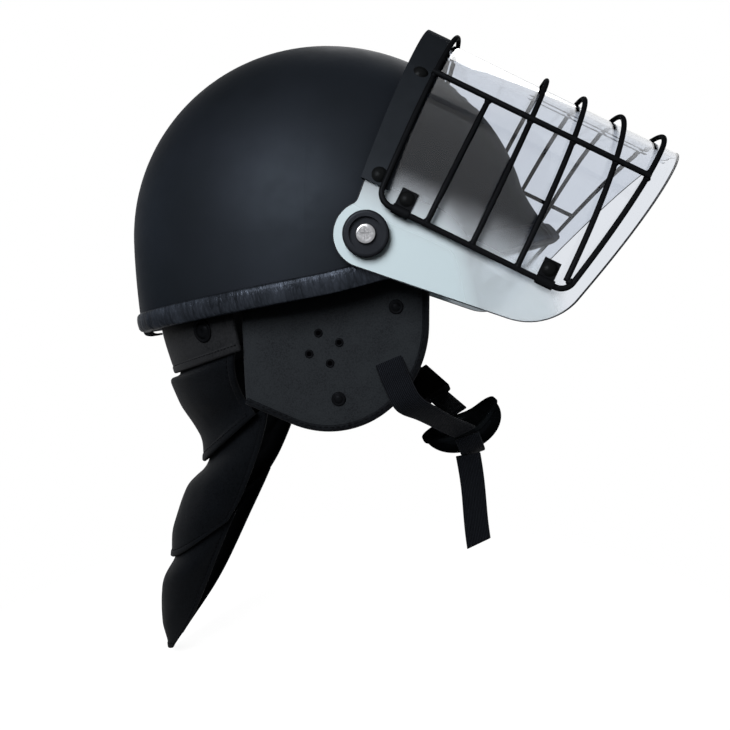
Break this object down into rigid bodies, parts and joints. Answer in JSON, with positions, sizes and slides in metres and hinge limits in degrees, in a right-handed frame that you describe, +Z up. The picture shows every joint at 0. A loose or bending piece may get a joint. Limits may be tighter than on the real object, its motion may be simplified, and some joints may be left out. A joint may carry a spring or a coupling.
{
  "type": "riot helmet",
  "caption": "Riot helmet with a raised clear visor, a welded wire grille over it, a padded articulated nape guard, ear panels and a chin strap with a moulded cup.",
  "frame": {"origin": "where the visor's pivot axis crosses the helmet's plane of symmetry", "axes": "+X forward, +Y to the wearer's left, +Z up to the crown"},
  "size_m": [0.3707, 0.2576, 0.4407],
  "materials": {
    "shell": "satin black lacquer",
    "trim": "wrinkled black leather",
    "foam": "expanded foam",
    "pads": "soft knitted cover",
    "ear_panels": "matt leather cloth",
    "nape_lames": "padded matt leather cloth",
    "webbing": "woven webbing",
    "chin_cup": "moulded satin",
    "buckle": "moulded satin",
    "snaps": "black lacquer",
    "knobs": "gloss moulded",
    "hardware": "bright plated",
    "lens": "clear polycarbonate, faint blue-grey tint",
    "strip": "satin black",
    "black_rivets": "black lacquer",
    "grille_wire": "black powder coat"
  },
  "bodies": {
    "helmet": {"outer_shell": "shell", "edge_trim": "trim", "impact_liner": "foam", "crown_pad": "pads", "front_pad": "pads", "rear_pad": "pads", "right_side_pad": "pads", "left_side_pad": "pads", "ear_panel_snaps": "snaps", "ear_vent_eyelets": "snaps", "right_ear_panel": "ear_panels", "right_ear_binding": "trim", "right_strap_anchor": "webbing", "right_pivot_spacer": "buckle", "right_pivot_washer": "hardware", "right_pivot_knob": "knobs", "right_pivot_screw": "hardware", "right_pivot_nut": "hardware", "left_ear_panel": "ear_panels", "left_ear_binding": "trim", "left_strap_anchor": "webbing", "left_pivot_spacer": "buckle", "left_pivot_washer": "hardware", "left_pivot_knob": "knobs", "left_pivot_screw": "hardware", "left_pivot_nut": "hardware", "nape_collar": "trim", "collar_snaps": "snaps", "rear_retainer_strap": "webbing", "rear_retainer_snap": "snaps"},
    "visor": {"visor_lens": "lens", "brow_strip": "strip", "strip_rivets": "black_rivets", "grille_frame": "grille_wire", "grille_bar_1": "grille_wire", "grille_bar_2": "grille_wire", "grille_bar_3": "grille_wire", "grille_bar_4": "grille_wire", "grille_centre_bar": "grille_wire", "left_grille_upper_bar": "grille_wire", "right_grille_upper_bar": "grille_wire", "grille_clips": "grille_wire", "grille_clip_rivets": "black_rivets"},
    "chin_strap": {"left_chin_strap": "webbing", "right_chin_strap": "webbing", "cup_strap": "webbing", "chin_cup": "chin_cup", "buckle_socket": "buckle", "buckle_plug": "buckle"},
    "strap_tail": {"strap_tail": "webbing"},
    "nape_upper": {"nape_upper_lame": "nape_lames"},
    "nape_middle": {"nape_middle_lame": "nape_lames"},
    "nape_lower": {"nape_lower_lame": "nape_lames"}
  },
  "joints": [
    {"name": "visor_pivot", "type": "hinge", "parent": "helmet", "child": "visor", "pos_m": [0, 0, 0], "axis": [0, 1, 0], "range_deg": [-15, 64]},
    {"name": "chin_strap_swing", "type": "hinge", "parent": "helmet", "child": "chin_strap", "pos_m": [0.0115, 0, -0.0715], "axis": [0, 1, 0], "range_deg": [-40, 10]},
    {"name": "strap_tail_swing", "type": "hinge", "parent": "chin_strap", "child": "strap_tail", "pos_m": [0.064, -0.026, -0.1415], "axis": [1, 0, 0], "range_deg": [-30, 30]},
    {"name": "nape_upper_hinge", "type": "hinge", "parent": "helmet", "child": "nape_upper", "pos_m": [-0.141, 0, -0.088], "axis": [0, 1, 0], "range_deg": [0, 10]},
    {"name": "nape_middle_hinge", "type": "hinge", "parent": "nape_upper", "child": "nape_middle", "pos_m": [-0.123, 0, -0.15], "axis": [0, 1, 0], "range_deg": [0, 25]},
    {"name": "nape_lower_hinge", "type": "hinge", "parent": "nape_middle", "child": "nape_lower", "pos_m": [-0.149, 0, -0.222], "axis": [0, 1, 0], "range_deg": [0, 25]}
  ]
}
